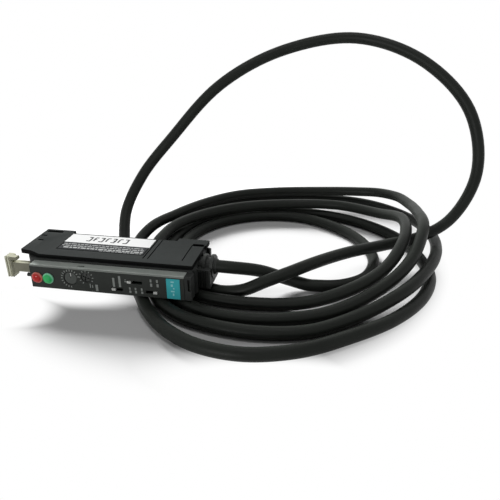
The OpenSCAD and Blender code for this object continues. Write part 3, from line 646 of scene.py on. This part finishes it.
# Timer dial and gain screw.
# Small dark nylon rotors set back in the panel, one with a painted pointer in its groove and one
# with a cross slot.
groove_back = 0.53
dial_dark = moulded("dial_dark", (0.075, 0.082, 0.076), 0.48, 0.58, 0.15, 0.04)
softened("timer_dial", "timer_dial", dial_dark, 0.08)
screw_dark = moulded("screw_dark", (0.045, 0.048, 0.045), 0.45, 0.55, 0.2)
softened("gain_screw", "gain_screw", screw_dark, 0.08)


def in_groove(a, b, up):
    """A point on the bottom of the timer dial's pointer groove."""
    return (a, panel_y + groove_back - up, b)


pointer_white = flat_ink("pointer_white", (0.62, 0.63, 0.61))
pointer = [bar(timer[0], 0.35, 0.42, 1.3)]
printed("timer_pointer", "timer_dial", pointer_white, pointer, in_groove)

# Switch sliders.
# Three pale nylon sliders that stand just proud of their slots.
slider_pale = moulded("slider_pale", (0.50, 0.51, 0.49), 0.45, 0.55, 0.3)
for node in ("light_dark_slider", "delay_slider", "range_slider"):
    softened(node, node, slider_pale, 0.1)

# Labels.
# A printed film in the cover's field, white along its far edge with a row of dark marks and dark
# along the near one with rows of small pale marks, and a small teal film on the panel.
label_top = 5.5
label_band = -7.7
label_dark = (0.034, 0.036, 0.0375, 1)
label_white = (0.74, 0.745, 0.74, 1)
word_gap = 0.35
teal_t = 0.15
label_film, label_shader, label_place = blank_finish("label_film", (0.02, 0.021, 0.022), 0.55, 0.08)
label_nodes = label_film.node_tree.nodes
label_links = label_film.node_tree.links
grain(label_film, label_shader, label_place, per_mm=3.0, height=0.006)
label_parts = label_nodes.new("ShaderNodeSeparateXYZ")
label_links.new(label_place, label_parts.inputs["Vector"])
label_split = label_nodes.new("ShaderNodeMath")
label_split.operation = "GREATER_THAN"
label_split.inputs[1].default_value = label_band
label_links.new(label_parts.outputs["Y"], label_split.inputs[0])
label_tone = label_nodes.new("ShaderNodeMix")
label_tone.data_type = "RGBA"
label_tone.inputs["A"].default_value = label_dark
label_tone.inputs["B"].default_value = label_white
label_links.new(label_split.outputs["Value"], label_tone.inputs["Factor"])
label_links.new(label_tone.outputs["Result"], label_shader.inputs["Base Color"])
dress_node("rating_label", label_film)


def on_label(a, b, up):
    """A point on the rating label."""
    return (a, b, label_top + up)


def word_row(start, end, level, high, pattern):
    """A row of bars like blurred words, of the widths in pattern in turn."""
    row = []
    along = start
    turn = 0
    while along + pattern[turn % len(pattern)] < end:
        wide = pattern[turn % len(pattern)]
        row.append(bar(along + wide / 2, level, wide, high))
        along += wide + word_gap
        turn += 1
    return row


pale_ink = flat_ink("pale_ink", (0.42, 0.43, 0.425))
dark_ink = flat_ink("dark_ink", (0.03, 0.031, 0.032))
small_rows = word_row(-19.2, 11.8, -9.2, 0.45, (1.4, 0.7, 2.1, 0.9, 1.1))
small_rows += word_row(-19.2, 11.8, -10.6, 0.55, (0.8, 1.7, 0.6, 1.2, 2.4))
small_rows += word_row(-18.0, 11.8, -12.1, 0.85, (1.9, 1.0, 1.5, 0.8))
small_rows += word_row(-4.0, 11.8, -13.2, 0.35, (1.2, 0.6, 1.6))
printed("label_small_print", "amplifier", pale_ink, small_rows, on_label)
large_row = []
for k, wide in enumerate((1.5, 1.2, 1.6, 1.3, 1.5, 1.2, 1.6)):
    middle = -11.6 + 2.35 * k
    large_row.append(bar(middle, -2.6, wide, 0.6))
    large_row.append(bar(middle + 0.5 * (-1) ** k, -4.2, 0.6, 2.55))
    if k % 2 == 0:
        large_row.append(bar(middle - 0.1, -5.8, wide, 0.6))
    if k % 3 == 1:
        large_row.append(bar(middle - 0.12 * (-1) ** k, -4.2, 0.6, 0.45))
printed("label_large_print", "amplifier", dark_ink, large_row, on_label)
# Painted shade: dark bars along the label's near and end edges, for the shade at the edge of its
# recess.
label_painted_shade = [bar(-3.7, -13.75, 32.4, 0.4)]
label_painted_shade += [bar(along, -10.82, 0.3, 5.4) for along in (-19.75, 12.35)]
printed("label_painted_shade", "amplifier", painted_shade_black, label_painted_shade, on_label)
teal_film = moulded("teal_film", (0.045, 0.40, 0.44), 0.42, 0.52, 0.2)
dress_node("front_label", teal_film)


def on_teal(a, b, up):
    """A point on the panel's coloured label."""
    return (a, panel_y - teal_t - up, b)


teal_ink = flat_ink("teal_ink", (0.28, 0.62, 0.64))
teal_marks = [bar(25.7, 1.2, 1.1, 0.5), bar(25.5, -0.1, 0.7, 0.9), bar(26.1, -1.2, 0.5, 0.5),
              bar(25.7, -2.3, 1.2, 0.5), bar(25.9, -3.5, 0.5, 0.9)]
printed("teal_marks", "amplifier", teal_ink, teal_marks, on_teal)
